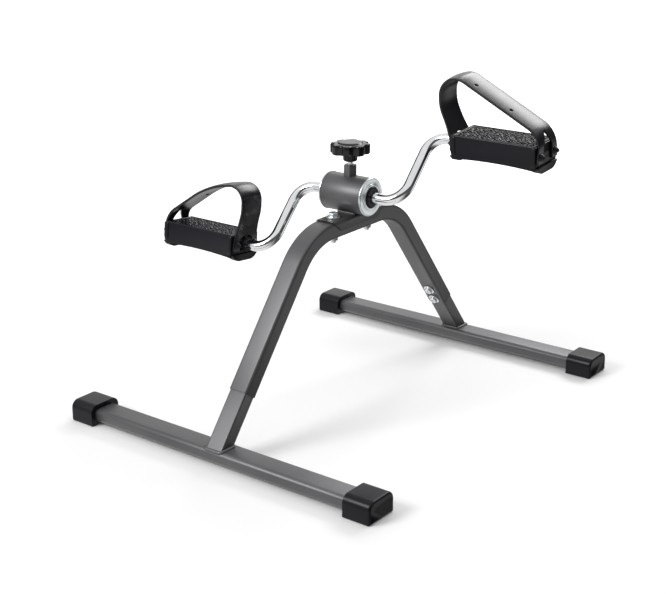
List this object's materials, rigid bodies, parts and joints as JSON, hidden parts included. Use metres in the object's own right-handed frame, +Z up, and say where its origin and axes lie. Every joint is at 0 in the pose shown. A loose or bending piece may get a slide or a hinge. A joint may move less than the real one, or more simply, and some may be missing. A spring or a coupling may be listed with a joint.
{
  "type": "pedal exerciser",
  "caption": "Floor-standing pedal exerciser: a bent-tube stand on floor bars carries a bent-rod crank with strapped pedals and a screw brake set by a star knob.",
  "frame": {"origin": "on the floor, midway between the floor bars and midway along them", "axes": "+X to the exerciser's right along the crank axle, +Y from the front floor bar to the rear one, +Z up"},
  "size_m": [0.423, 0.48, 0.37],
  "materials": {
    "frame_paint": "satin charcoal grey powder coat",
    "cap_plastic": "semi-gloss moulded black",
    "bright_zinc": "bright zinc plate",
    "rod_chrome": "bright chrome plate",
    "plain_steel": "plain turned steel",
    "brake_lining": "brown woven brake lining",
    "knob_plastic": "gloss black",
    "pedal_plastic": "black, glossy edges and a pebbled tread",
    "strap_rubber": "smooth glossy black rubber"
  },
  "bodies": {
    "stand": {"front_floor_bar": "frame_paint", "rear_floor_bar": "frame_paint", "front_leg_stub": "frame_paint", "rear_leg_stub": "frame_paint", "leg_bow": "frame_paint", "stub_welds": "frame_paint", "saddle_bracket": "frame_paint", "hub_shell": "frame_paint", "hub_welds": "frame_paint", "tension_boss": "frame_paint", "front_cap_left": "cap_plastic", "front_cap_right": "cap_plastic", "rear_cap_left": "cap_plastic", "rear_cap_right": "cap_plastic", "axle_bushing_left": "cap_plastic", "axle_bushing_right": "cap_plastic", "leg_screws": "bright_zinc", "leg_washers": "bright_zinc", "leg_inserts": "bright_zinc", "hub_bolts": "bright_zinc", "hub_bolt_washers": "bright_zinc", "hub_nuts": "bright_zinc", "hub_flange_left": "bright_zinc", "hub_flange_right": "bright_zinc"},
    "crank": {"crank_rod_left": "rod_chrome", "crank_rod_right": "rod_chrome", "spindle_washer_left": "cap_plastic", "spindle_washer_right": "cap_plastic", "spindle_cap_left": "pedal_plastic", "spindle_cap_right": "pedal_plastic", "friction_drum": "plain_steel", "drum_pins": "plain_steel"},
    "right_pedal": {"pedal_right": "pedal_plastic", "strap_right": "strap_rubber"},
    "left_pedal": {"pedal_left": "pedal_plastic", "strap_left": "strap_rubber"},
    "brake": {"brake_shoe": "plain_steel", "brake_lining": "brake_lining"},
    "knob": {"tension_knob": "knob_plastic", "tension_screw": "bright_zinc"}
  },
  "joints": [
    {"name": "crank_spin", "type": "hinge", "parent": "stand", "child": "crank", "pos_m": [0, 0, 0.236], "axis": [1, 0, 0], "continuous": true},
    {"name": "right_pedal_spin", "type": "hinge", "parent": "crank", "child": "right_pedal", "pos_m": [0.15, 0.05763, 0.2978], "axis": [1, 0, 0], "continuous": true},
    {"name": "left_pedal_spin", "type": "hinge", "parent": "crank", "child": "left_pedal", "pos_m": [-0.15, -0.05763, 0.1742], "axis": [1, 0, 0], "continuous": true},
    {"name": "brake_slide", "type": "slide", "parent": "stand", "child": "brake", "axis": [0, 0, 1], "range_m": [-0.00033, 0.001]},
    {"name": "knob_turn", "type": "hinge", "parent": "brake", "child": "knob", "pos_m": [0, 0, 0.272], "axis": [0, 0, 1], "range_deg": [-120, 360]}
  ],
  "couplings": [
    {"joint": "knob_turn", "follows": "brake_slide", "rad_per_m": 6283.2}
  ]
}
